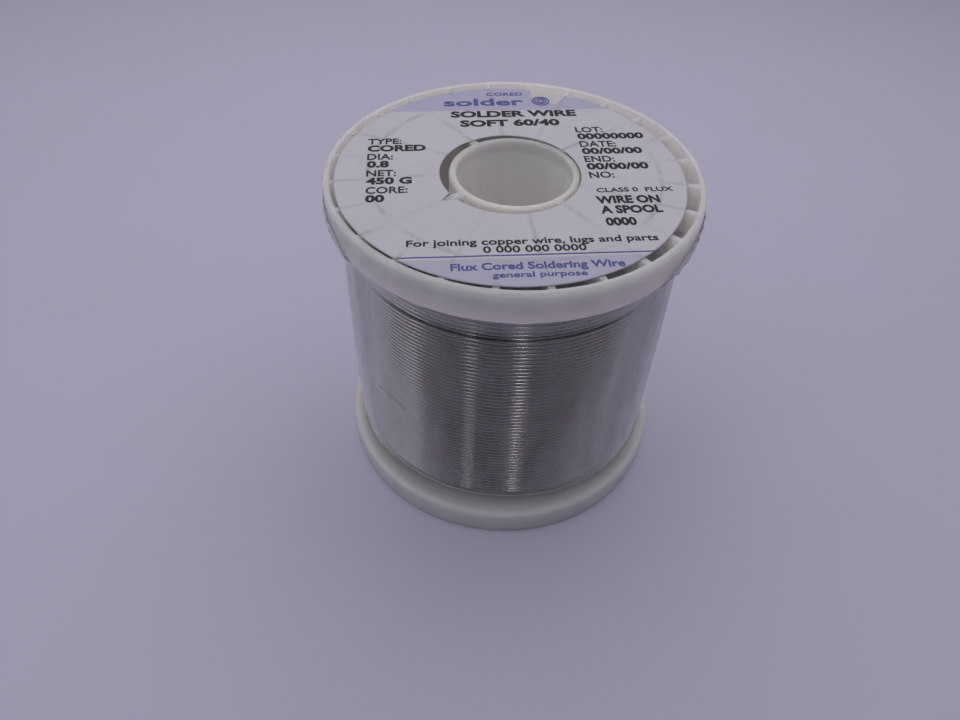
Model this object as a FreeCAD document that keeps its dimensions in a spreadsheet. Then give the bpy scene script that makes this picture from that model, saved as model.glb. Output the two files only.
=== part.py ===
import FreeCAD, Part
import os
import Sketcher

# A spool of soldering wire. Two plastic mouldings make the spool, and the wire lies on its barrel in
# level layers. A clear film goes round the winding, and a paper label covers the upper flange.
# Millimetres and degrees. The origin is the centre of the resting face, and +Z is the spool's axis.

X_AXIS = FreeCAD.Vector(1, 0, 0)
Z_AXIS = FreeCAD.Vector(0, 0, 1)
HALF_TURN = 180
FULL_TURN = 360

# How a sketch names its origin and axes, and the ends and centre of a curve in it.
SKETCH_ORIGIN = (-1, 1)
SKETCH_X_AXIS = -1
SKETCH_Y_AXIS = -2
CURVE_START = 1
CURVE_END = 2
CURVE_CENTRE = 3

doc = FreeCAD.newDocument("solder_wire_spool")

# ---------------------------------------------------------------- driving dimensions

SIZES = [
    ("FlangeRadius", 31.75, "outside of both flanges"),
    ("SpoolHeight", 61.5, "outer face to outer face"),
    ("RimHeight", 5.9, "depth of each flange's rim"),
    ("RimWall", 1.05, "thickness of the rim"),
    ("OuterEdgeRound", 0.55, "rounding of the rim at the outer face"),
    ("InnerEdgeRound", 0.9, "rounding of the rim beside the winding"),
    ("PlateThickness", 1.8, "flange plate behind the ribs"),
    ("BarrelRadius", 18.8, "cylinder that the wire is wound on"),
    ("BarrelWall", 1.6, "thickness of the barrel"),
    ("SpigotHeight", 1.5, "lip of the lower half inside the upper half"),
    ("SpigotWall", 0.8, "thickness of that lip"),
    ("SpigotClearance", 0.05, "gap round and above that lip"),
    ("TubeRadius", 11.0, "outside of the bore tube"),
    ("BoreRadius", 9.8, "bore for the spindle"),
    ("TubeDrop", 0.3, "end of the bore tube below the rim's face"),
    ("TubeLipRound", 0.4, "rounding of the bore tube's end"),
    ("WebThickness", 1.2, "webs between bore tube and barrel"),
    ("WebCount", 4, "webs in each half"),
    ("WebAngle", 42, "direction of the first web"),
    ("RibDrop", 0.2, "edge of the ribs below the rim's face"),
    ("RibThickness", 1.0, "radial ribs and ring rib"),
    ("RingRibRadius", 24.4, "middle of the ring rib"),
    ("OuterRibCount", 24, "ribs from ring rib to rim"),
    ("InnerRibCount", 12, "ribs from barrel to ring rib"),
    ("RibAngle", 12, "direction of the first rib"),
    ("WireDiameter", 0.813, "0.032 inch wire"),
    ("TurnPitch", 0.825, "from one turn to the next along the axis"),
    ("TurnSlope", 0.2, "height of each sloped side of a turn"),
    ("WindingRadius", 28.75, "crest of the outermost layer"),
    ("LayerCount", 14, "layers of wire"),
    ("FullBottom", 6.0, "lower side of the layers that fill the barrel"),
    ("FullTurns", 60, "turns in each of those layers"),
    ("LayerTwelveBottom", 6.3, "the outer three layers stop short of the flanges"),
    ("LayerTwelveTurns", 59, ""),
    ("LayerThirteenBottom", 6.9, ""),
    ("LayerThirteenTurns", 57, ""),
    ("LayerFourteenBottom", 8.3, ""),
    ("LayerFourteenTurns", 50, ""),
    ("LabelThickness", 0.15, "paper"),
    ("LabelRadius", 29.2, "outside of the label"),
    ("LabelHoleRadius", 12.0, "hole in the label"),
    ("LabelShiftX", -0.68, "the label is stuck on off centre"),
    ("LabelShiftY", -0.72, ""),
    ("FilmRadius", 29.3, "outside of the film"),
    ("FilmThickness", 0.15, "clear film"),
    ("FilmBottom", 7.6, "lower edge of the film"),
    ("FilmTop", 54.8, "upper edge of the film"),
]

sheet = doc.addObject("Spreadsheet::Sheet", "Sizes")
for row, (alias, number, meaning) in enumerate(SIZES, start=1):
    sheet.set("A%d" % row, alias)
    sheet.set("B%d" % row, str(number))
    sheet.set("C%d" % row, meaning)
    sheet.setAlias("B%d" % row, alias)
doc.recompute()


class Size:
    """A number, and the expression on the sheet that drives it."""

    def __init__(self, value, expression=None):
        self.value = value
        self.expression = expression or str(value)

    def __add__(self, other):
        return Size(self.value + other.value, "(%s + %s)" % (self.expression, other.expression))

    def __sub__(self, other):
        return Size(self.value - other.value, "(%s - %s)" % (self.expression, other.expression))

    def __mul__(self, other):
        return Size(self.value * other.value, "(%s * %s)" % (self.expression, other.expression))

    def __truediv__(self, other):
        return Size(self.value / other.value, "(%s / %s)" % (self.expression, other.expression))

    def __neg__(self):
        return Size(-self.value, "(-%s)" % self.expression)


size = {alias: Size(number, "Sizes." + alias) for alias, number, meaning in SIZES}
ZERO = Size(0)
TWO = Size(2)

half_height = size["SpoolHeight"] / TWO
rim_inside = size["FlangeRadius"] - size["RimWall"]
barrel_inside = size["BarrelRadius"] - size["BarrelWall"]
plate_outer_face = size["RimHeight"] - size["PlateThickness"]
layer_step = (size["WindingRadius"] - size["BarrelRadius"]) / size["LayerCount"]

# ---------------------------------------------------------------- sketch and feature helpers


def origin_feature(body, role):
    """One of the body's own origin planes or axes."""
    return next(item for item in body.Origin.OriginFeatures if item.Role == role)


def new_sketch(body, name, plane, lift=ZERO, turn=0):
    """A sketch on one of the body's origin planes, lifted off it and turned about its normal."""
    sketch = body.newObject("Sketcher::SketchObject", name)
    sketch.AttachmentSupport = [(origin_feature(body, plane), "")]
    sketch.MapMode = "FlatFace"
    sketch.AttachmentOffset = FreeCAD.Placement(
        FreeCAD.Vector(0, 0, lift.value), FreeCAD.Rotation(Z_AXIS, turn))
    if lift is not ZERO:
        sketch.setExpression("AttachmentOffset.Base.z", lift.expression)
    return sketch


def bind(sketch, constraint, expression):
    """Add a constraint whose number comes from the sheet."""
    index = sketch.addConstraint(constraint)
    sketch.setExpression("Constraints[%d]" % index, expression)


def pin_point(sketch, geometry, end, x, y):
    """Place one end of a sketch line from the sketch's origin."""
    for kind, distance, axis in (("DistanceX", x, SKETCH_Y_AXIS), ("DistanceY", y, SKETCH_X_AXIS)):
        if distance is ZERO:
            sketch.addConstraint(Sketcher.Constraint("PointOnObject", geometry, end, axis))
            continue
        constraint = Sketcher.Constraint(kind, *SKETCH_ORIGIN, geometry, end, distance.value)
        bind(sketch, constraint, distance.expression)


def draw_outline(sketch, corners):
    """A closed outline, drawn anticlockwise. A corner is (x, y), or (x, y, radius) when the stretch that
    leaves it is a rounded edge."""
    count = len(corners)
    points = [FreeCAD.Vector(corner[0].value, corner[1].value, 0) for corner in corners]
    for index, corner in enumerate(corners):
        start, end = points[index], points[(index + 1) % count]
        if len(corner) == 2:
            sketch.addGeometry(Part.LineSegment(start, end), False)
            continue
        radius = corner[2].value
        chord = end - start
        inwards = FreeCAD.Vector(-chord.y, chord.x, 0).normalize()
        centre = (start + end) / 2 + inwards * (radius ** 2 - (chord.Length / 2) ** 2) ** 0.5
        sketch.addGeometry(Part.Arc(start, centre - inwards * radius, end), False)
    for index, corner in enumerate(corners):
        following = (index + 1) % count
        sketch.addConstraint(Sketcher.Constraint(
            "Coincident", index, end_of(sketch, index, points[following]),
            following, end_of(sketch, following, points[following])))
        pin_point(sketch, index, end_of(sketch, index, points[index]), corner[0], corner[1])
        if len(corner) == 3:
            bind(sketch, Sketcher.Constraint("Radius", index, corner[2].value), corner[2].expression)


def end_of(sketch, index, point):
    """Which end of a sketch line or arc lies on the point."""
    curve = sketch.Geometry[index]
    starts_there = (curve.StartPoint - point).Length < (curve.EndPoint - point).Length
    return CURVE_START if starts_there else CURVE_END


def revolve(body, name, corners):
    """Turn an outline, drawn in radius and height, once round the body's axis."""
    sketch = new_sketch(body, name + "_outline", "XZ_Plane")
    draw_outline(sketch, corners)
    feature = body.newObject("PartDesign::Revolution", name)
    feature.Profile = sketch
    feature.ReferenceAxis = (sketch, ["V_Axis"])
    feature.Angle = FULL_TURN
    return feature


def pad(body, name, sketch, height):
    """Raise a sketch by a height."""
    feature = body.newObject("PartDesign::Pad", name)
    feature.Profile = sketch
    feature.setExpression("Length", height.expression)
    return feature


def radial_bars(body, name, inner, outer, thickness, bottom, top, first_angle, count):
    """Bars between two radii, equally spaced round the axis."""
    sketch = new_sketch(body, name + "_outline", "XY_Plane", bottom, first_angle)
    half = thickness / TWO
    draw_outline(sketch, [
        (inner, -half),
        (outer, -half),
        (outer, half),
        (inner, half),
    ])
    bar = pad(body, name + "_first", sketch, top - bottom)
    pattern = body.newObject("PartDesign::PolarPattern", name)
    pattern.Originals = [bar]
    pattern.Axis = (origin_feature(body, "Z_Axis"), [""])
    pattern.Angle = FULL_TURN
    pattern.setExpression("Occurrences", count.expression)
    body.Tip = pattern
    return pattern


# ---------------------------------------------------------------- the two halves of the spool


def flange_and_barrel(body, barrel_end):
    """Rim, flange plate and half of the barrel, in one turned outline. The outer face is at height 0."""
    outer_round = size["OuterEdgeRound"]
    inner_round = size["InnerEdgeRound"]
    corners = [
        (rim_inside, ZERO),
        (size["FlangeRadius"] - outer_round, ZERO, outer_round),
        (size["FlangeRadius"], outer_round),
        (size["FlangeRadius"], size["RimHeight"] - inner_round, inner_round),
        (size["FlangeRadius"] - inner_round, size["RimHeight"]),
        (size["BarrelRadius"], size["RimHeight"]),
        (size["BarrelRadius"], half_height),
    ]
    corners += barrel_end
    corners += [
        (barrel_inside, plate_outer_face),
        (rim_inside, plate_outer_face),
    ]
    return revolve(body, body.Label + "_shell", corners)


def bore_tube(body):
    """Half of the tube that the spindle goes through, with a rounded outer end."""
    lip = size["TubeLipRound"]
    return revolve(body, body.Label + "_tube", [
        (size["BoreRadius"] + lip, size["TubeDrop"]),
        (size["TubeRadius"] - lip, size["TubeDrop"], lip),
        (size["TubeRadius"], size["TubeDrop"] + lip),
        (size["TubeRadius"], half_height),
        (size["BoreRadius"], half_height),
        (size["BoreRadius"], size["TubeDrop"] + lip, lip),
    ])


def spool_half(name, barrel_end, angle_sign):
    """One moulding, standing on its outer face: shell, webs, bore tube, ring rib and radial ribs. Each
    web and rib runs a little way into what it joins."""
    body = doc.addObject("PartDesign::Body", name)
    body.Label = name
    thickness = size["RibThickness"]
    overlap = thickness / TWO
    flange_and_barrel(body, barrel_end)
    radial_bars(
        body, name + "_webs", size["TubeRadius"] - overlap, barrel_inside + overlap,
        size["WebThickness"], size["RibDrop"], half_height,
        angle_sign * size["WebAngle"].value, size["WebCount"])
    bore_tube(body)

    ring_sketch = new_sketch(body, name + "_ring_outline", "XY_Plane", size["RibDrop"])
    for radius in (size["RingRibRadius"] - overlap, size["RingRibRadius"] + overlap):
        index = ring_sketch.addGeometry(Part.Circle(FreeCAD.Vector(), Z_AXIS, radius.value), False)
        ring_sketch.addConstraint(Sketcher.Constraint("Coincident", index, CURVE_CENTRE, *SKETCH_ORIGIN))
        bind(ring_sketch, Sketcher.Constraint("Radius", index, radius.value), radius.expression)
    pad(body, name + "_ring", ring_sketch, plate_outer_face - size["RibDrop"])

    for part, inner, outer, count in (
            ("_outer_ribs", size["RingRibRadius"], rim_inside + overlap, size["OuterRibCount"]),
            ("_inner_ribs", barrel_inside + overlap, size["RingRibRadius"], size["InnerRibCount"])):
        radial_bars(
            body, name + part, inner, outer, thickness, size["RibDrop"], plate_outer_face,
            angle_sign * size["RibAngle"].value, count)
    return body


# The lower half's barrel ends in a lip, which goes into a recess in the upper half's barrel.
lip_outside = barrel_inside + size["SpigotWall"]
recess_outside = lip_outside + size["SpigotClearance"]
recess_depth = size["SpigotHeight"] + size["SpigotClearance"]

lower_half = spool_half("lower_spool_half", [
    (lip_outside, half_height),
    (lip_outside, half_height + size["SpigotHeight"]),
    (barrel_inside, half_height + size["SpigotHeight"]),
], 1)

upper_half = spool_half("upper_spool_half", [
    (recess_outside, half_height),
    (recess_outside, half_height - recess_depth),
    (barrel_inside, half_height - recess_depth),
], -1)
upper_half.Placement = FreeCAD.Placement(
    FreeCAD.Vector(0, 0, size["SpoolHeight"].value), FreeCAD.Rotation(X_AXIS, HALF_TURN))
upper_half.setExpression("Placement.Base.z", "Sizes.SpoolHeight")

# ---------------------------------------------------------------- the wire, layer by layer


def ring(name, outside, inside, bottom, height, shift_x=ZERO, shift_y=ZERO):
    """A plain round sleeve or disc with a hole."""
    solids = []
    for part, radius in (("outside", outside), ("inside", inside)):
        cylinder = doc.addObject("Part::Cylinder", name + "_" + part)
        cylinder.setExpression("Radius", radius.expression)
        cylinder.setExpression("Height", height.expression)
        for axis, distance in (("x", shift_x), ("y", shift_y), ("z", bottom)):
            cylinder.setExpression("Placement.Base." + axis, distance.expression)
        solids.append(cylinder)
    cut = doc.addObject("Part::Cut", name)
    cut.Base, cut.Tool = solids
    cut.Label = name
    return cut


def ridged_layer(name, outside, bottom, turns):
    """A sleeve of wire whose turns stand out: one turn with sloped sides, repeated along the axis."""
    body = doc.addObject("PartDesign::Body", name)
    body.Label = name
    inside = outside - layer_step
    groove = outside - size["WireDiameter"] / TWO
    top = bottom + size["TurnPitch"]
    turn = revolve(body, name + "_turn", [
        (inside, bottom),
        (groove, bottom),
        (outside, bottom + size["TurnSlope"]),
        (outside, top - size["TurnSlope"]),
        (groove, top),
        (inside, top),
    ])
    pattern = body.newObject("PartDesign::LinearPattern", name + "_turns")
    pattern.Originals = [turn]
    pattern.Direction = (origin_feature(body, "Z_Axis"), [""])
    pattern.setExpression("Length", ((turns - Size(1)) * size["TurnPitch"]).expression)
    pattern.setExpression("Occurrences", turns.expression)
    body.Tip = pattern
    return body


STEPPED_LAYERS = {
    12: (size["LayerTwelveBottom"], size["LayerTwelveTurns"]),
    13: (size["LayerThirteenBottom"], size["LayerThirteenTurns"]),
    14: (size["LayerFourteenBottom"], size["LayerFourteenTurns"]),
}
FIRST_VISIBLE_LAYER = 13

wire_layers = []
for number in range(1, int(size["LayerCount"].value) + 1):
    layer_name = "solder_layer_%02d" % number
    layer_outside = size["BarrelRadius"] + layer_step * Size(number)
    layer_bottom, layer_turns = STEPPED_LAYERS.get(number, (size["FullBottom"], size["FullTurns"]))
    if number >= FIRST_VISIBLE_LAYER:
        wire_layers.append(ridged_layer(layer_name, layer_outside, layer_bottom, layer_turns))
        continue
    wire_layers.append(ring(
        layer_name, layer_outside, layer_outside - layer_step,
        layer_bottom, layer_turns * size["TurnPitch"]))

# ---------------------------------------------------------------- film and label

film = ring(
    "film_wrap", size["FilmRadius"], size["FilmRadius"] - size["FilmThickness"],
    size["FilmBottom"], size["FilmTop"] - size["FilmBottom"])

label = ring(
    "upper_label", size["LabelRadius"], size["LabelHoleRadius"],
    size["SpoolHeight"] - size["RibDrop"], size["LabelThickness"], size["LabelShiftX"], size["LabelShiftY"])

# ---------------------------------------------------------------- check and write

doc.recompute()

for item in doc.Objects:
    if "Invalid" in item.State or "Error" in item.State:
        raise RuntimeError("%s failed: %s" % (item.Name, item.State))

os.makedirs("parts", exist_ok=True)
for piece in [lower_half, upper_half] + wire_layers + [film, label]:
    shape = piece.Shape
    if shape.isNull() or not shape.isValid() or len(shape.Solids) != 1:
        raise RuntimeError("%s is not one valid solid" % piece.Label)
    shape.exportStep("parts/%s.step" % piece.Label)
    print("%-18s %9.1f mm3" % (piece.Label, shape.Volume))
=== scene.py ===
import math
import random

import bmesh
import bpy
import numpy as np
from mathutils import Matrix, Vector, noise


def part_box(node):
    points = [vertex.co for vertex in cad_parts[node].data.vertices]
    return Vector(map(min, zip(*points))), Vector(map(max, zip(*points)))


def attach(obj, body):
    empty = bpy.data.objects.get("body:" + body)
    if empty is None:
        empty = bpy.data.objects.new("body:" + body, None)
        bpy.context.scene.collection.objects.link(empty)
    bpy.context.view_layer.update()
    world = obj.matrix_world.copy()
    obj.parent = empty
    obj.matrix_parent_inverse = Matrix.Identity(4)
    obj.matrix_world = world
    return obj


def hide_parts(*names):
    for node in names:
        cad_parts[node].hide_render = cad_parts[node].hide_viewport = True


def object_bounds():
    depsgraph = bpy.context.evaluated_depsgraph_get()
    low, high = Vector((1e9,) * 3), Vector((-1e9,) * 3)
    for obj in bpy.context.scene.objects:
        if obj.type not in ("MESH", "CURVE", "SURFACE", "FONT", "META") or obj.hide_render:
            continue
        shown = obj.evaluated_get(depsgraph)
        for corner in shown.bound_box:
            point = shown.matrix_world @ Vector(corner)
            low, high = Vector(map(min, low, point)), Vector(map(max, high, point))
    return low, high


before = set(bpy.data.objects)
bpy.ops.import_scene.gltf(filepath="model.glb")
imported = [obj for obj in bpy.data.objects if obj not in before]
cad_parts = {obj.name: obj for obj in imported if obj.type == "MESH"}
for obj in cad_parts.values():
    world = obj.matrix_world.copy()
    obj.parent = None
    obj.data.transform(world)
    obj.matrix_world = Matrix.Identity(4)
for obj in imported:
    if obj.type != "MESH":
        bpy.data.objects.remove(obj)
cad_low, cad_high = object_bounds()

# A spool of soldering wire on a pale table. Lengths are in millimetres unless a name says otherwise, and
# become metres where a mesh is made. Angles are in degrees round the spool's axis, from +X towards +Y.

MM = 0.001
SEED = 20
BODY = "root"

# ---------------------------------------------------------------- sizes from the frame


def node_box(node):
    """Lowest and highest corner of a CAD node, in millimetres."""
    low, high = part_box(node)
    return low / MM, high / MM


FLANGE_RADIUS = cad_high.x / MM
SPOOL_TOP = cad_high.z / MM

film_low, film_high = node_box("film_wrap")
label_low, label_high = node_box("upper_label")
LABEL_RADIUS = (label_high.x - label_low.x) / 2
LABEL_CENTRE = Vector((label_high.x + label_low.x, label_high.y + label_low.y)) / 2
LABEL_LEVEL = label_high.z
WINDING_RADIUS = node_box("solder_layer_14")[1].x

# ---------------------------------------------------------------- driving dimensions

WIRE_DIAMETER = 0.813
TURN_PITCH = 0.825

RIB_COUNT = 24
FIRST_RIB = 12
WEB_COUNT = 4
FIRST_WEB = 42
RING_RIB_RADIUS = 24.4
BARREL_RADII = (17.2, 18.8)
TUBE_RADIUS = 11.0

RIM_HEIGHT = 5.9

LABEL_HOLE_RADIUS = 11.8
LABEL_TURN = 8
PAPER = 0.11
INK = 0.035

FILM = 0.04

# ---------------------------------------------------------------- mesh helpers


def polar(angle, radius=1.0):
    """The point at an angle and a radius."""
    return Vector((math.cos(math.radians(angle)), math.sin(math.radians(angle)))) * radius


def smooth_step(value, start, end):
    """0 before start, 1 after end, and a smooth rise between. Works on arrays too."""
    share = np.clip((value - start) / (end - start), 0, 1)
    return share * share * (3 - 2 * share)


def add_piece(name, vertices, faces, material, smooth=True):
    """A mesh piece from millimetre vertices. It rides on the spool and takes the material that it is given.
    """
    mesh = bpy.data.meshes.new(name)
    mesh.from_pydata([tuple(MM * c for c in v) for v in vertices], [], faces)
    mesh.validate()
    piece = bpy.data.objects.new(name, mesh)
    bpy.context.scene.collection.objects.link(piece)
    mesh.materials.append(material)
    mesh.shade_smooth() if smooth else mesh.shade_flat()
    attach(piece, BODY)
    return piece


def grid_faces(rows, columns, first=0, wrap=True, flip=False):
    """Quads over a grid of vertices that is stored row by row. With wrap, each row is a closed ring."""
    faces = []
    for row in range(rows - 1):
        for column in range(columns if wrap else columns - 1):
            after = (column + 1) % columns
            quad = (
                first + row * columns + column, first + row * columns + after,
                first + (row + 1) * columns + after, first + (row + 1) * columns + column)
            faces.append(quad[::-1] if flip else quad)
    return faces


def tube_along(points, outwards, radius, sides):
    """Vertices and faces of a round wire along a path. Outwards is a unit vector across the path at each
    point, and the two ends are closed."""
    along = np.gradient(points, axis=0)
    along /= np.linalg.norm(along, axis=1)[:, None]
    across = np.cross(along, outwards)
    across /= np.linalg.norm(across, axis=1)[:, None]
    turn = np.linspace(0, 2 * math.pi, sides, endpoint=False)
    rings = (
        points[:, None, :]
        + radius * np.cos(turn)[None, :, None] * outwards[:, None, :]
        + radius * np.sin(turn)[None, :, None] * across[:, None, :])
    vertices = rings.reshape(-1, 3)
    faces = grid_faces(len(points), sides)
    faces.append(tuple(range(sides))[::-1])
    last = (len(points) - 1) * sides
    faces.append(tuple(range(last, last + sides)))
    return vertices, faces


# ---------------------------------------------------------------- material helpers


class Recipe:
    """A material being made, with a short way to add each kind of node."""

    def __init__(self, name, **sockets):
        self.material = bpy.data.materials.new(name)
        self.material.use_nodes = True
        self.tree = self.material.node_tree
        self.shader = self.tree.nodes["Principled BSDF"]
        for socket, value in sockets.items():
            self.shader.inputs[socket.replace("_", " ")].default_value = value
        self.place = self.add("ShaderNodeTexCoord").outputs["Object"]

    def add(self, kind, inputs=(), **settings):
        """A node with its settings. Each input is a plain value or another node's output."""
        node = self.tree.nodes.new(kind)
        for setting, value in settings.items():
            setattr(node, setting, value)
        for index, value in dict(inputs).items():
            if isinstance(value, bpy.types.NodeSocket):
                self.tree.links.new(value, node.inputs[index])
            else:
                node.inputs[index].default_value = value
        return node

    def drive(self, socket, value):
        """Link an output to one of the shader's sockets."""
        self.tree.links.new(value, self.shader.inputs[socket])

    def stretched(self, x, y, z):
        """The place on the object, in millimetres, scaled along each axis."""
        node = self.add("ShaderNodeMapping", {"Vector": self.place})
        node.inputs["Scale"].default_value = (x / MM, y / MM, z / MM)
        return node.outputs["Vector"]

    def noise(self, size, detail=2, roughness=0.5, place=None):
        """Cloudy noise from 0 to 1 with features of about this size."""
        place = place or self.stretched(1, 1, 1)
        return self.add(
            "ShaderNodeTexNoise",
            {"Vector": place, "Scale": 1 / size, "Detail": detail, "Roughness": roughness}).outputs["Fac"]

    def ramp(self, value, *stops):
        """Colours at places from 0 to 1."""
        node = self.add("ShaderNodeValToRGB", {"Fac": value})
        elements = node.color_ramp.elements
        while len(elements) < len(stops):
            elements.new(0.5)
        for element, (place, colour) in zip(elements, stops):
            element.position = place
            element.color = (*colour, 1) if len(colour) == 3 else colour
        return node.outputs["Color"]

    def range(self, value, low, high, new_low, new_high):
        """Move a value from one range to another, held inside the new range."""
        return self.add("ShaderNodeMapRange", {
            "Value": value, "From Min": low, "From Max": high,
            "To Min": new_low, "To Max": new_high}).outputs["Result"]

    def math(self, operation, first, second=0.0):
        """The result of one operation on one or two values."""
        return self.add("ShaderNodeMath", {0: first, 1: second}, operation=operation).outputs[0]

    def axes(self):
        """The place on the object along each axis, in millimetres."""
        split = self.add("ShaderNodeSeparateXYZ", {0: self.stretched(1, 1, 1)})
        return split.outputs["X"], split.outputs["Y"], split.outputs["Z"]

    def distance(self, x, y):
        """The distance from the spool's axis of a point at x and y."""
        squares = self.math("ADD", self.math("MULTIPLY", x, x), self.math("MULTIPLY", y, y))
        return self.math("SQRT", squares)

    def mix(self, share, first, second):
        """Mix two colours."""
        node = self.add("ShaderNodeMix", {"Factor": share}, data_type="RGBA")
        for socket, value in zip((node.inputs[6], node.inputs[7]), (first, second)):
            if isinstance(value, bpy.types.NodeSocket):
                self.tree.links.new(value, socket)
            else:
                socket.default_value = (*value, 1)
        return node.outputs[2]

    def bump(self, height, depth, strength=1.0, under=None):
        """Relief of this depth, on top of any relief that is under it."""
        inputs = {"Height": height, "Distance": depth * MM, "Strength": strength}
        if under is not None:
            inputs["Normal"] = under
        return self.add("ShaderNodeBump", inputs).outputs["Normal"]


# ---------------------------------------------------------------- materials

# Glow that stands for light through thin walls: round the bore, and behind the upper rim.
WALL_GLOW = 0.03
RIM_GLOW = 0.05
RIM_INSIDE = 30.7

# Heights up the label where its tints start.
TINT_TOP = 20.2
TINT_BOTTOM = -23.2

# The film is hazier this far out to either side, and above this height.
LOOSE_FROM = 18
BUNCHED_FROM = 50.5


def bore_painted_light(recipe):
    """1 inside the bore and between bore tube and barrel. There the plastic is painted whiter and given a
    faint glow, both standing for the light that comes through the thin walls.
    """
    x, y, z = recipe.axes()
    radius = recipe.distance(x, y)
    within = recipe.range(radius, BARREL_RADII[1], BARREL_RADII[1] + 0.3, 1, 0)
    below_lip = recipe.range(z, SPOOL_TOP - 3, SPOOL_TOP - 1.5, 1, 0)
    return recipe.math("MULTIPLY", within, below_lip)


def behind_rim(recipe):
    """1 on the inside of the upper rim, below its edge, where light comes through the thin rim."""
    x, y, z = recipe.axes()
    radius = recipe.distance(x, y)
    outside_ring = recipe.range(radius, RIM_INSIDE - 1.7, RIM_INSIDE - 0.9, 0, 1)
    inside_rim = recipe.range(radius, RIM_INSIDE + 0.05, RIM_INSIDE + 0.15, 1, 0)
    below_edge = recipe.range(z, SPOOL_TOP - 0.7, SPOOL_TOP - 0.4, 1, 0)
    above_plate = recipe.range(z, SPOOL_TOP - RIM_HEIGHT, SPOOL_TOP - RIM_HEIGHT + 0.3, 0, 1)
    return recipe.math(
        "MULTIPLY", recipe.math("MULTIPLY", outside_ring, inside_rim),
        recipe.math("MULTIPLY", below_edge, above_plate))


def white_plastic():
    """Moulded white plastic with soft relief, grime and specks of dirt. A whiter colour and a faint glow in
    closed spaces are painted light: they stand for the light that comes through the thin walls."""
    recipe = Recipe(
        "white_plastic", Roughness=0.34, Specular_IOR_Level=0.5,
        Emission_Color=(1, 0.96, 0.93, 1), Subsurface_Weight=1.0,
        Subsurface_Radius=(1, 0.95, 0.85), Subsurface_Scale=8 * MM)
    cloud = recipe.noise(9, detail=3)
    colour = recipe.ramp(cloud, (0.3, (0.675, 0.64, 0.65)), (0.7, (0.725, 0.69, 0.695)))
    inside = bore_painted_light(recipe)
    # Painted light: the plastic in the bore and between tube and barrel is painted whiter, standing for the
    # light that comes through the thin walls.
    colour = recipe.mix(inside, colour, (0.90, 0.87, 0.85))
    wall_glow = recipe.math("MULTIPLY", inside, WALL_GLOW)
    rim_glow = recipe.math("MULTIPLY", behind_rim(recipe), RIM_GLOW)
    recipe.drive("Emission Strength", recipe.math("ADD", wall_glow, rim_glow))
    grime = recipe.noise(2.2, detail=6, roughness=0.7)
    grime_share = recipe.range(grime, 0.56, 0.75, 0, 0.28)
    colour = recipe.mix(grime_share, colour, (0.50, 0.47, 0.45))
    specks = recipe.add("ShaderNodeTexVoronoi", {
        "Vector": recipe.stretched(1, 1, 1), "Scale": 0.32, "Randomness": 1.0})
    dot = recipe.range(specks.outputs["Distance"], 0.035, 0.06, 1, 0)
    picked = recipe.range(recipe.noise(12, detail=1), 0.5, 0.56, 0, 1)
    colour = recipe.mix(recipe.math("MULTIPLY", dot, picked), colour, (0.10, 0.09, 0.085))
    recipe.drive("Base Color", colour)
    recipe.drive("Roughness", recipe.range(grime, 0.3, 0.7, 0.28, 0.46))
    fine = recipe.bump(recipe.noise(0.35, detail=3), 0.02, 0.6)
    recipe.drive("Normal", recipe.bump(recipe.noise(5, detail=2), 0.12, 0.5, under=fine))
    return recipe.material


def solder():
    """Drawn tin-lead wire: dull silver with a slightly uneven sheen."""
    recipe = Recipe("solder", Metallic=1.0, Roughness=0.26)
    patches = recipe.noise(1.6, detail=3)
    recipe.drive("Base Color", recipe.ramp(
        patches, (0.3, (0.27, 0.26, 0.26)), (0.7, (0.31, 0.30, 0.30))))
    recipe.drive("Roughness", recipe.range(patches, 0.3, 0.7, 0.14, 0.20))
    recipe.drive("Normal", recipe.bump(recipe.noise(2.5, detail=1), 0.01, 0.2))
    return recipe.material


def clear_film():
    """Clear stretch film, hazier where it is seen edge on, at the sides and where it bunches at the top."""
    recipe = Recipe("clear_film", Roughness=0.16)
    haze = recipe.noise(3, detail=4, place=recipe.stretched(1, 1, 0.35))
    recipe.drive("Base Color", recipe.ramp(
        haze, (0.3, (0.62, 0.60, 0.68)), (0.7, (0.72, 0.70, 0.78))))
    edge_on = recipe.add("ShaderNodeLayerWeight", {"Blend": 0.5}).outputs["Facing"]
    steep = recipe.range(edge_on, 0.42, 0.92, 0.03, 0.60)
    x, _, z = recipe.axes()
    aside = recipe.math("ABSOLUTE", x)
    loose = recipe.range(aside, LOOSE_FROM, LOOSE_FROM + 9, 0, 0.12)
    cloudy = recipe.range(haze, 0.35, 0.75, 0, 0.04)
    bunched = recipe.range(z, BUNCHED_FROM, BUNCHED_FROM + 1.5, 0, 0.13)
    recipe.drive("Alpha", recipe.math(
        "ADD", recipe.math("ADD", steep, loose), recipe.math("ADD", cloudy, bunched)))
    waves = recipe.noise(6, detail=1, place=recipe.stretched(1, 1, 0.35))
    recipe.drive("Normal", recipe.bump(waves, 0.1, 0.3))
    return recipe.material


def rib_distance(recipe):
    """Distance in millimetres over the label to the nearest rib or to the ring rib under it."""
    x, y, _ = recipe.axes()
    radius = recipe.distance(x, y)
    turned = recipe.math("SUBTRACT", recipe.math("ARCTAN2", y, x), math.radians(FIRST_RIB))
    half_step = math.pi / RIB_COUNT
    outer = recipe.math("MULTIPLY", recipe.math("PINGPONG", turned, half_step), radius)
    inner = recipe.math("MULTIPLY", recipe.math("PINGPONG", turned, 2 * half_step), radius)
    beyond_ring = recipe.math("GREATER_THAN", radius, RING_RIB_RADIUS)
    spoke = recipe.math(
        "ADD", recipe.math("MULTIPLY", beyond_ring, outer),
        recipe.math("MULTIPLY", recipe.math("SUBTRACT", 1.0, beyond_ring), inner))
    ring = recipe.math("ABSOLUTE", recipe.math("SUBTRACT", radius, RING_RIB_RADIUS))
    return recipe.math("MINIMUM", spoke, ring)


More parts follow.
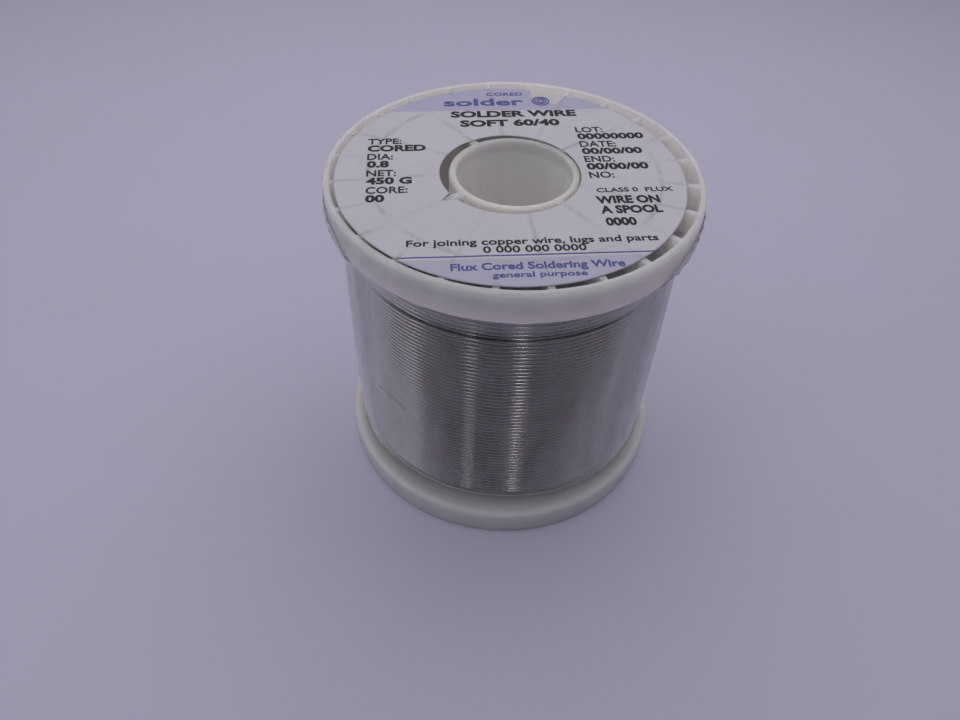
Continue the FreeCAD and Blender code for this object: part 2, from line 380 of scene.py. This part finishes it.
def label_paper():
    """Coated white paper. A blue tint fills a segment at the top and a paler one at the bottom."""
    recipe = Recipe("label_paper", Roughness=0.38)
    mottle = recipe.noise(7, detail=3)
    paper = recipe.ramp(mottle, (0.3, (0.57, 0.545, 0.62)), (0.7, (0.605, 0.58, 0.655)))
    across = recipe.add("ShaderNodeVectorRotate", {
        "Vector": recipe.stretched(1, 1, 1), "Angle": math.radians(-LABEL_TURN)},
        rotation_type="Z_AXIS")
    upwards = recipe.add("ShaderNodeSeparateXYZ", {0: across.outputs[0]}).outputs["Y"]
    top = recipe.range(upwards, TINT_TOP, TINT_TOP + 0.15, 0, 1)
    bottom = recipe.range(upwards, TINT_BOTTOM, TINT_BOTTOM - 0.15, 0, 1)
    grain = recipe.range(recipe.noise(0.5, detail=2), 0.3, 0.7, 0.85, 1)
    paper = recipe.mix(recipe.math("MULTIPLY", top, grain), paper, (0.42, 0.41, 0.60))
    paper = recipe.mix(recipe.math("MULTIPLY", bottom, grain), paper, (0.45, 0.44, 0.585))
    dirt = recipe.noise(3.5, detail=6, roughness=0.75)
    paper = recipe.mix(recipe.range(dirt, 0.58, 0.8, 0, 0.35), paper, (0.30, 0.28, 0.32))
    # The paper is darker in patches along the ribs under it.
    along_ribs = recipe.range(rib_distance(recipe), 0.12, 0.6, 1, 0)
    patchy = recipe.range(recipe.noise(6, detail=4, roughness=0.65), 0.46, 0.64, 0.08, 0.62)
    paper = recipe.mix(recipe.math("MULTIPLY", along_ribs, patchy), paper, (0.33, 0.31, 0.34))
    recipe.drive("Base Color", paper)
    recipe.drive("Roughness", recipe.range(dirt, 0.35, 0.7, 0.32, 0.5))
    recipe.drive("Normal", recipe.bump(recipe.noise(0.4, detail=3), 0.015, 0.6))
    return recipe.material


def ink(name, light, dark):
    """Printed ink, a little uneven where the paper shows through."""
    recipe = Recipe(name, Roughness=0.4, Specular_IOR_Level=0.15)
    wear = recipe.noise(0.6, detail=4, roughness=0.7)
    recipe.drive("Base Color", recipe.ramp(wear, (0.35, dark), (0.75, light)))
    recipe.drive("Roughness", recipe.range(wear, 0.3, 0.7, 0.35, 0.55))
    return recipe.material


def table_top():
    """A plain pale lilac surface with a soft mottle."""
    recipe = Recipe("table_top", Roughness=0.62, Specular_IOR_Level=0.3)
    mottle = recipe.noise(40, detail=2)
    recipe.drive("Base Color", recipe.ramp(
        mottle, (0.3, (0.59, 0.55, 0.715)), (0.7, (0.60, 0.56, 0.73))))
    recipe.drive("Normal", recipe.bump(recipe.noise(0.8, detail=3), 0.02, 0.3))
    return recipe.material


plastic_material = white_plastic()
solder_material = solder()
film_material = clear_film()
paper_material = label_paper()
black_ink = ink("black_ink", (0.035, 0.032, 0.04), (0.012, 0.011, 0.015))
blue_ink = ink("blue_ink", (0.16, 0.17, 0.42), (0.07, 0.08, 0.30))

# ---------------------------------------------------------------- the CAD nodes that stay


def finish_node(node, material):
    """Give a CAD node its detailed material."""
    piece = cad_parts[node]
    if not piece.material_slots:
        piece.data.materials.append(material)
    for place in piece.material_slots:
        place.material = material


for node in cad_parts:
    if node.endswith("spool_half"):
        finish_node(node, plastic_material)
    elif node.startswith("solder_layer"):
        finish_node(node, solder_material)

# ---------------------------------------------------------------- the wire

# Where each layer starts round the axis, and how far the wire wanders up and outwards.
WIRE_START = 96
WANDER_UP = 0.03
WANDER_OUT = 0.02


def wandering(angles, size, waves, seed):
    """A slow wander along the wire. Each turn nearly repeats the one below, as closely laid wire does."""
    draw = random.Random(seed)
    wander = np.zeros_like(angles)
    for _ in range(waves):
        rate = draw.randint(1, 9) + draw.uniform(-0.03, 0.03)
        wander += np.sin(rate * angles + draw.uniform(0, 2 * math.pi)) / waves
    return wander * size


def wound_layer(name, node, upwards, steps, sides, seed):
    """One layer of wire as a true helix, between the heights of its CAD node."""
    low, high = node_box(node)
    radius = high.x - WIRE_DIAMETER / 2
    bottom = low.z + WIRE_DIAMETER / 2
    top = high.z - WIRE_DIAMETER / 2
    turns = (top - bottom) / TURN_PITCH
    angles = np.linspace(0, 2 * math.pi * turns, int(turns * steps))
    start = math.radians(WIRE_START)
    heights = bottom + TURN_PITCH * angles / (2 * math.pi)
    heights += wandering(angles, WANDER_UP, 7, seed)
    radii = radius + wandering(angles, WANDER_OUT, 9, seed + 1)
    direction = 1 if upwards else -1
    bearing = start + direction * angles
    outwards = np.stack([np.cos(bearing), np.sin(bearing), np.zeros_like(bearing)], axis=1)
    points = outwards * radii[:, None]
    points[:, 2] = heights
    vertices, faces = tube_along(points, outwards, WIRE_DIAMETER / 2, sides)
    piece = add_piece(name, vertices, faces, solder_material)
    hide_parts(node)


wound_layer("wire_layer_12", "solder_layer_12", True, 72, 8, SEED)
wound_layer("wire_layer_13", "solder_layer_13", False, 96, 10, SEED + 10)
wound_layer("wire_layer_14", "solder_layer_14", True, 128, 12, SEED + 20)

# ---------------------------------------------------------------- the film

# How far the film stands off the winding: everywhere, at its sides, and where it flares out at the top.
FILM_GAP = 0.12
SWELL = 1.15
FLARE = 0.5

# The least gap to the winding, and how softly the film comes to rest there.
CLEARANCE = 0.03
CONTACT = 0.08

# Creases in the film, each between two places that are a bearing and a height.
FOLDS = [((-142, 11), (-126.5, 25.5)), ((-126.5, 25.5), (-139, 27))]
FOLD_HEIGHT = 0.22
FOLD_WIDTH = 0.3

# The lift and the roll of the film's lower edge, and the height of lumps where it laps over the rim.
EDGE_LIFT = 0.5
ROLL = 0.16
LUMP = 0.45


def film_radius(bearing, share):
    """Outside radius of the film at a bearing in radians and a share of its height. It hugs the winding at
    the front and back and stands off it at the sides."""
    stand_off = np.abs(np.cos(bearing)) ** 2.2
    swell = SWELL * stand_off * (0.75 + 0.25 * np.sin(math.pi * share))
    flare = FLARE * smooth_step(share, 0.9, 1.0) * (0.4 + 0.6 * stand_off)
    return WINDING_RADIUS + FILM_GAP + swell + flare


def distance_to_fold(bearing, height, start, end):
    """Distance in millimetres over the film to the crease between two places, each a bearing and a height."""
    along = np.radians(bearing) * WINDING_RADIUS
    first = np.array([math.radians(start[0]) * WINDING_RADIUS, start[1]])
    last = np.array([math.radians(end[0]) * WINDING_RADIUS, end[1]])
    span = last - first
    share = ((along - first[0]) * span[0] + (height - first[1]) * span[1]) / (span @ span)
    share = np.clip(share, 0, 1)
    return np.hypot(along - first[0] - share * span[0], height - first[1] - share * span[1])


def sheet_from_rows(rows, columns, outside, inside, wrap):
    """A thin closed sheet from the grids of its outside and inside points."""
    vertices = np.concatenate([outside.reshape(-1, 3), inside.reshape(-1, 3)])
    count = rows * columns
    faces = grid_faces(rows, columns, wrap=wrap)
    faces += grid_faces(rows, columns, first=count, wrap=wrap, flip=True)
    top = count - columns
    for column in range(columns if wrap else columns - 1):
        after = (column + 1) % columns
        faces.append((count + column, count + after, after, column))
        faces.append((top + column, top + after, count + top + after, count + top + column))
    if not wrap:
        for row in range(rows - 1):
            left, above = row * columns, (row + 1) * columns
            faces.append((left, above, count + above, count + left))
            right, above = left + columns - 1, above + columns - 1
            faces.append((count + right, count + above, above, right))
    return vertices, faces


def round_axis(radii, bearing, heights):
    """Points from cylindrical places, with the bearing in radians."""
    return np.stack([radii * np.cos(bearing), radii * np.sin(bearing), heights], axis=2)


def film_wrap():
    """The film: a thin closed sleeve with wrinkles, creases and a rolled lower edge."""
    columns, rows = 540, 110
    bearing = np.linspace(-math.pi, math.pi, columns, endpoint=False)
    share = np.linspace(0, 1, rows)
    bearing, share = np.meshgrid(bearing, share)
    wrinkle = np.zeros_like(bearing)
    draw = random.Random(SEED)
    for _ in range(9):
        waves = draw.randint(5, 40)
        tilt = draw.uniform(-6, 6)
        wrinkle += np.sin(waves * bearing + tilt * share + draw.uniform(0, 2 * math.pi)) / waves
    edge = 0.35 * np.sin(3 * bearing + 1) + 0.2 * np.sin(8 * bearing)
    climb = (film_high.z - film_low.z - EDGE_LIFT) * share
    heights = film_low.z + EDGE_LIFT + climb + edge * (1 - share) ** 6
    radii = film_radius(bearing, share) + wrinkle * 0.5 * (0.3 + np.abs(np.cos(bearing)))
    for start, end in FOLDS:
        away = distance_to_fold(np.degrees(bearing), heights, start, end)
        radii += FOLD_HEIGHT * np.exp(-(away / FOLD_WIDTH) ** 2)
    radii += ROLL * (1 - smooth_step(share, 0, 0.015))
    least = WINDING_RADIUS + CLEARANCE + FILM
    radii = least + CONTACT * np.log1p(np.exp((radii - least) / CONTACT))
    vertices, faces = sheet_from_rows(
        rows, columns, round_axis(radii, bearing, heights), round_axis(radii - FILM, bearing, heights), True)
    piece = add_piece("film", vertices, faces, film_material)
    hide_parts("film_wrap")


def film_over_rim(name, start, end, seed):
    """A lap of film that runs from the winding, round the lower corner of the upper rim and up its wall."""
    columns, rows = 150, 40
    rim_bottom = SPOOL_TOP - RIM_HEIGHT
    path = np.array([
        (WINDING_RADIUS + 0.75, rim_bottom - 1.5), (FLANGE_RADIUS - 1.1, rim_bottom - 0.35),
        (FLANGE_RADIUS - 0.3, rim_bottom - 0.15), (FLANGE_RADIUS + 0.1, rim_bottom + 0.4),
        (FLANGE_RADIUS + 0.2, rim_bottom + 1.2), (FLANGE_RADIUS + 0.2, rim_bottom + 4.6)])
    length = np.concatenate([[0], np.cumsum(np.hypot(*np.diff(path, axis=0).T))])
    along = np.linspace(0, 1, columns)
    taper = np.sin(math.pi * along) ** 0.4
    bearing = np.radians(start + (end - start) * along)
    radii, heights = np.zeros((rows, columns)), np.zeros((rows, columns))
    for column in range(columns):
        ragged = noise.noise(Vector((along[column] * 9, seed, 0)))
        reach = length[2] + (length[-1] - length[2]) * taper[column] * (0.82 + 0.18 * ragged)
        walked = np.linspace(0, reach, rows)
        radii[:, column] = np.interp(walked, length, path[:, 0])
        heights[:, column] = np.interp(walked, length, path[:, 1])
        for row in range(rows):
            lump = noise.noise(Vector((along[column] * 26, row / 5, seed)))
            radii[row, column] += LUMP * max(0, lump) * row / rows
    bearing = np.tile(bearing, (rows, 1))
    vertices, faces = sheet_from_rows(
        rows, columns, round_axis(radii + FILM, bearing, heights), round_axis(radii, bearing, heights), False)
    add_piece(name, vertices, faces, film_material)


film_wrap()
film_over_rim("film_over_rim_left", 150, 218, 3)
film_over_rim("film_over_rim_right", -42, 14, 7)

# ---------------------------------------------------------------- the label

# Half a rib's thickness, the label's sag between ribs, how far from a rib the sag is full, and how far the
# whole label lies below its CAD level.
HALF_RIB = 0.5
SAG = 0.14
SAG_REACH = 1.2
SETTLED = 0.03

# Bearings between which the label's edge goes from whole to torn or worn, and back again.
TEAR_START = (71.2, 72.6)
TEAR_END = (82.5, 85)
TEAR_DEPTH = 4.1
WORN_START = (26, 31)
WORN_END = (44, 48)

# The slit at the hole: its bearing, its depth into the paper and half its width in degrees.
SLIT = -138.6
SLIT_LENGTH = 2.3
SLIT_WIDTH = 5


def gap_to_support(x, y):
    """Distance from a point on the label to the nearest rib, web or wall that holds it up."""
    radius = math.hypot(x, y)
    bearing = math.degrees(math.atan2(y, x))
    gaps = [
        abs(radius - RING_RIB_RADIUS) - HALF_RIB,
        max(BARREL_RADII[0] - radius, radius - BARREL_RADII[1], 0)]
    rib_step = 360 / RIB_COUNT if radius > RING_RIB_RADIUS else 2 * 360 / RIB_COUNT
    first, step = (FIRST_RIB, rib_step) if radius > BARREL_RADII[0] else (FIRST_WEB, 360 / WEB_COUNT)
    offset = (bearing - first + step / 2) % step - step / 2
    gaps.append(abs(radius * math.sin(math.radians(offset))) - HALF_RIB)
    gaps.append(max(0, TUBE_RADIUS - radius))
    return max(0, min(gaps))


def label_drop(x, y):
    """How far the label lies below its flat level at a point. It sags between the ribs."""
    gap = gap_to_support(x, y)
    sag = SAG * float(smooth_step(gap, 0, SAG_REACH))
    crumple = 0.05 * noise.noise(Vector((x / 5, y / 5, 1))) + 0.03 * noise.noise(Vector((x / 2, y / 2, 4)))
    return sag + crumple + SETTLED


def label_rim(bearing):
    """Radius of the label's outer edge at a bearing. A piece is torn out, and part of the edge is worn."""
    ragged = 0.10 * noise.noise(Vector((*polar(bearing, 4), 2)))
    torn = float(smooth_step(bearing, *TEAR_START) * (1 - smooth_step(bearing, *TEAR_END)))
    frayed = 0.6 * torn * noise.noise(Vector((*polar(bearing, 30), 6)))
    worn = float(smooth_step(bearing, *WORN_START) * (1 - smooth_step(bearing, *WORN_END)))
    nibbled = 0.5 * worn * abs(noise.noise(Vector((*polar(bearing, 22), 9))))
    return LABEL_RADIUS + ragged - TEAR_DEPTH * torn - frayed - nibbled


def label_hole(bearing):
    """Radius of the hole's edge. The paper is slit where a web pushes through it."""
    away = abs((bearing - SLIT + 180) % 360 - 180)
    return LABEL_HOLE_RADIUS + SLIT_LENGTH * max(0, 1 - away / SLIT_WIDTH)


def label_sheet():
    """The paper disc with its hole."""
    columns, rings = 480, 60
    grids = []
    for level in (0, PAPER):
        rows = []
        for ring in range(rings):
            share = ring / (rings - 1)
            for column in range(columns):
                bearing = 360 * column / columns
                inner = polar(bearing, label_hole(bearing))
                point = LABEL_CENTRE + inner.lerp(polar(bearing, label_rim(bearing)), share)
                rows.append((point.x, point.y, LABEL_LEVEL - label_drop(point.x, point.y) - level))
        grids.append(np.array(rows).reshape(rings, columns, 3))
    vertices, faces = sheet_from_rows(rings, columns, grids[1], grids[0], True)
    piece = add_piece("label", vertices, faces, paper_material)
    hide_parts("upper_label")


label_sheet()

# ---------------------------------------------------------------- the print on the label

# How far each weight of print is thickened, and the middle of the centred lines.
BOLD = 0.042
MEDIUM = 0.026
PLAIN = 0.018
PRINT_MIDDLE = 0.8

# Each style of print: the height of a capital, how much wider it is than the font, and its weight.
TITLE = (2.0, 1.25, BOLD)
NAME = (1.75, 0.94, PLAIN)
VALUE = (1.75, 1.15, BOLD)
PLACE = (1.85, 0.88, BOLD)
NOTE = (1.15, 1.15, PLAIN)
SENTENCE = (1.45, 1.15, PLAIN)
HEADING = (2.5, 1.6, MEDIUM)
SUBHEADING = (1.5, 1.05, MEDIUM)
SMALL = (1.1, 1.3, PLAIN)

# Each column: its left side, its first line, the step from name to name, and its names with their values.
COLUMNS = [
    (-24.6, 9.9, 5, [("TYPE:", "CORED"), ("DIA:", "0.8"), ("NET:", "450 G"), ("CORE:", "00")]),
    (12.3, 12.7, 4.9, [("LOT:", "00000000"), ("DATE:", "00/00/00"), ("END:", "00/00/00"), ("NO:", "")]),
]
VALUE_DROP = 2.3

# Each other line: its words, its middle across and up the label, and its style.
BLACK_LINES = [
    ("SOLDER WIRE", PRINT_MIDDLE + 1, 18.9, TITLE),
    ("SOFT 60/40", PRINT_MIDDLE, 15.6, TITLE),
    ("CLASS 0  FLUX", 19, -6.5, NOTE),
    ("WIRE ON", 17.3, -9.2, PLACE),
    ("A SPOOL", 17.3, -11.9, PLACE),
    ("0000", 15, -15.1, PLACE),
    ("For joining copper wire, lugs and parts", PRINT_MIDDLE, -19.3, SENTENCE),
    ("0 000 000 0000", PRINT_MIDDLE, -21.2, SENTENCE),
]
BLUE_LINES = [
    ("CORED", PRINT_MIDDLE, 26.4, SMALL),
    ("solder", -3.4, 23.4, HEADING),
    ("Flux Cored Soldering Wire", PRINT_MIDDLE, -25.1, SUBHEADING),
    ("general purpose", PRINT_MIDDLE, -27.1, SMALL),
]

# The ruled line: its left end, its height up the label, its length and its width.
RULE = (-19.6, -22.65, 39, 0.26)
RULE_STEPS = 60

# The mark of a coil: its middle, the radius of each ring, and the width of its lines.
COIL_MARK = (7.4, 23.5)
COIL_RADII = (0.55, 1.05, 1.55)
COIL_LINE = 0.28
COIL_STEPS = 36


def lettering(words, weight):
    """Vertices and faces of a line of text from Blender's own font. A bevel makes it bolder."""
    curve = bpy.data.curves.new("lettering", "FONT")
    curve.body = words
    curve.bevel_depth = weight
    curve.bevel_resolution = 0
    curve.resolution_u = 3
    curve.extrude = 0.01
    writing = bpy.data.objects.new("lettering", curve)
    bpy.context.scene.collection.objects.link(writing)
    mesh = bpy.data.meshes.new_from_object(writing.evaluated_get(bpy.context.evaluated_depsgraph_get()))
    vertices = [vertex.co.copy() for vertex in mesh.vertices]
    faces = [tuple(face.vertices) for face in mesh.polygons]
    bpy.data.objects.remove(writing)
    bpy.data.curves.remove(curve)
    bpy.data.meshes.remove(mesh)
    return vertices, faces


CAPITAL = max(vertex.y for vertex in lettering("H", 0)[0])


def on_label(across, up, lift):
    """A point on the label's surface from its place across and up the print."""
    flat = Matrix.Rotation(math.radians(LABEL_TURN), 2) @ Vector((across, up))
    return flat.x, flat.y, LABEL_LEVEL - label_drop(flat.x, flat.y) + lift


def print_line(words, across, up, style, share, vertices, faces):
    """Add a line of print that lies on the label as thin raised ink. The share of its length before across is
    0 for a line that starts there and 0.5 for one with its middle there."""
    capital, wider, weight = style
    line_vertices, line_faces = lettering(words, weight)
    start = min(vertex.x for vertex in line_vertices)
    scale = capital / CAPITAL
    length = (max(vertex.x for vertex in line_vertices) - start) * scale * wider
    first = len(vertices)
    for vertex in line_vertices:
        vertices.append(on_label(
            across - share * length + (vertex.x - start) * scale * wider, up - capital / 2 + vertex.y * scale,
            INK if vertex.z > 0 else -INK))
    faces.extend(tuple(first + index for index in face) for face in line_faces)


def print_columns(vertices, faces):
    """Add the names with their values under them, down both sides of the hole."""
    for left, top, step, entries in COLUMNS:
        for row, (name, value) in enumerate(entries):
            print_line(name, left, top - row * step, NAME, 0, vertices, faces)
            if value:
                print_line(value, left, top - row * step - VALUE_DROP, VALUE, 0, vertices, faces)


def print_band(path, width, closed, vertices, faces):
    """Add a printed line of this width along a path on the label."""
    count = len(path)
    for lift in (INK, -INK):
        for side in (width / 2, -width / 2):
            for index, point in enumerate(path):
                before = path[index - 1] if closed or index else point
                after = path[(index + 1) % count] if closed or index < count - 1 else point
                step = (Vector(after) - Vector(before)).normalized()
                vertices.append(on_label(point[0] - step.y * side, point[1] + step.x * side, lift))
    first = len(vertices) - 4 * count
    corners = (0, count, 3 * count, 2 * count)
    for index in range(count if closed else count - 1):
        after = (index + 1) % count
        for near, far in zip(corners, corners[1:] + corners[:1]):
            quad = (near + index, near + after, far + after, far + index)
            faces.append(tuple(first + corner for corner in quad))
    if not closed:
        faces.append(tuple(first + corner for corner in corners))
        faces.append(tuple(first + corner + count - 1 for corner in corners[::-1]))


def black_print():
    """The black words."""
    vertices, faces = [], []
    print_columns(vertices, faces)
    for words, across, up, style in BLACK_LINES:
        print_line(words, across, up, style, 0.5, vertices, faces)
    add_piece("label_black_print", vertices, faces, black_ink, smooth=False)


def blue_print():
    """The blue words, a rule under them and a plain mark of a coil."""
    vertices, faces = [], []
    for words, across, up, style in BLUE_LINES:
        print_line(words, across, up, style, 0.5, vertices, faces)
    left, up, length, width = RULE
    ruled = [(left + length * step / RULE_STEPS, up) for step in range(RULE_STEPS + 1)]
    print_band(ruled, width, False, vertices, faces)
    for radius in COIL_RADII:
        ring = [polar(360 / COIL_STEPS * step, radius) + Vector(COIL_MARK) for step in range(COIL_STEPS)]
        print_band([tuple(point) for point in ring], COIL_LINE, True, vertices, faces)
    add_piece("label_blue_print", vertices, faces, blue_ink, smooth=False)


black_print()
blue_print()

# ---------------------------------------------------------------- table, light and camera

TABLE_SIZE = 1600

# The camera's place, its turn, downward tilt and roll in degrees, and its lens.
CAMERA_PLACE = Vector((0, -111.05, 130.73))
CAMERA_TURN = 2.46
CAMERA_DOWN = 46.12
CAMERA_ROLL = 1.83
CAMERA_LENS = 28.46

# Each lamp: its name, bearing, distance, height, width and height of its face, and power in watts.
LAMPS = [
    ("ceiling", 90, 120, 265, (420, 340), 0.31),
    ("left_wide", -165, 420, 160, (300, 240), 0.15),
    ("front_strip", -78, 420, 260, (22, 200), 0.09),
    ("left_strip", -110, 420, 260, (22, 200), 0.045),
    ("far_left_strip", -148, 420, 260, (40, 200), 0.03),
]


def table():
    """The surface that the spool stands on."""
    mesh = bpy.data.meshes.new("table")
    build = bmesh.new()
    bmesh.ops.create_grid(build, x_segments=4, y_segments=4, size=TABLE_SIZE / 2 * MM)
    build.to_mesh(mesh)
    build.free()
    mesh.materials.append(table_top())
    surface = bpy.data.objects.new("table", mesh)
    bpy.context.scene.collection.objects.link(surface)


def lamp(name, bearing, distance, height, size, power):
    """A rectangular lamp that points at the middle of the spool. Its size is its width and height."""
    light = bpy.data.lights.new(name, "AREA")
    light.shape = "RECTANGLE"
    light.size = size[0] * MM
    light.size_y = size[1] * MM
    light.energy = power
    holder = bpy.data.objects.new(name, light)
    bpy.context.scene.collection.objects.link(holder)
    holder.location = Vector((*polar(bearing, distance), height)) * MM
    holder.visible_camera = False
    aim = Vector((0, 0, SPOOL_TOP / 2)) * MM - holder.location
    holder.rotation_mode = "QUATERNION"
    holder.rotation_quaternion = aim.to_track_quat("-Z", "Y")


def surroundings():
    """Dim light from the room, which is darker towards -Y, the side that the camera is on."""
    world = bpy.data.worlds.new("room")
    bpy.context.scene.world = world
    world.use_nodes = True
    nodes, links = world.node_tree.nodes, world.node_tree.links
    split = nodes.new("ShaderNodeSeparateXYZ")
    links.new(nodes.new("ShaderNodeTexCoord").outputs["Generated"], split.inputs[0])
    gradient = nodes.new("ShaderNodeMapRange")
    links.new(split.outputs["Y"], gradient.inputs["Value"])
    for socket, value in (("From Min", -0.88), ("From Max", -0.5), ("To Min", 0.04), ("To Max", 0.36)):
        gradient.inputs[socket].default_value = value
    background = nodes["Background"]
    background.inputs["Color"].default_value = (0.97, 0.94, 1.0, 1)
    links.new(gradient.outputs["Result"], background.inputs["Strength"])


def camera():
    """The camera at the photograph's height, distance and angle."""
    lens = bpy.data.cameras.new("camera")
    lens.lens = CAMERA_LENS
    lens.sensor_width = 36
    lens.clip_start = 0.01
    holder = bpy.data.objects.new("camera", lens)
    bpy.context.scene.collection.objects.link(holder)
    holder.matrix_world = (
        Matrix.Translation(CAMERA_PLACE * MM)
        @ Matrix.Rotation(math.radians(CAMERA_TURN), 4, "Z")
        @ Matrix.Rotation(math.radians(90 - CAMERA_DOWN), 4, "X")
        @ Matrix.Rotation(math.radians(CAMERA_ROLL), 4, "Z"))
    bpy.context.scene.camera = holder


table()
surroundings()
for settings in LAMPS:
    lamp(*settings)
camera()
bpy.context.scene.view_settings.view_transform = "Standard"
